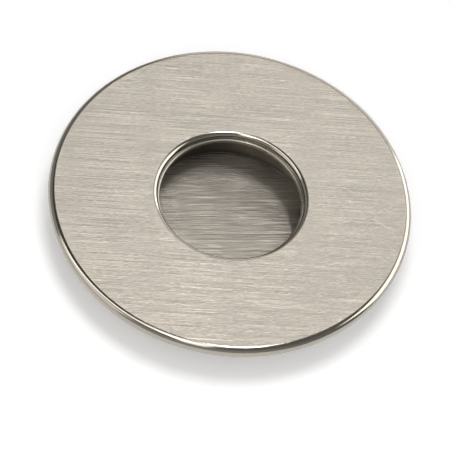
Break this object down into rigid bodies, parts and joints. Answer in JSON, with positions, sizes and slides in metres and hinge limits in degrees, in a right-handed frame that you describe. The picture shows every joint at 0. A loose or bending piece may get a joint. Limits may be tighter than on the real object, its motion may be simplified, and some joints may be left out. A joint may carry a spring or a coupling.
{
  "type": "flush pull",
  "caption": "Round flush pull in brushed nickel: a flat disc with a rounded rim and a central finger hole over a wider drawn cup, so that fingertips hook behind the disc, for a cabinet or sliding door.",
  "frame": {"origin": "on the cup's axis, level with the plate's back, which seats on the face of the door", "axes": "+Z along the axis, out of the door towards the hand; X along the brushed grain; Y across it"},
  "size_m": [0.08, 0.08, 0.0117],
  "materials": {
    "plate_nickel": "straight-brushed nickel, warm grey, bright rounded edges",
    "cup_nickel": "nickel, straight-brushed on the floor and plain on the drawn wall"
  },
  "bodies": {
    "root": {"face_plate": "plate_nickel", "recess_cup": "cup_nickel"}
  },
  "joints": []
}
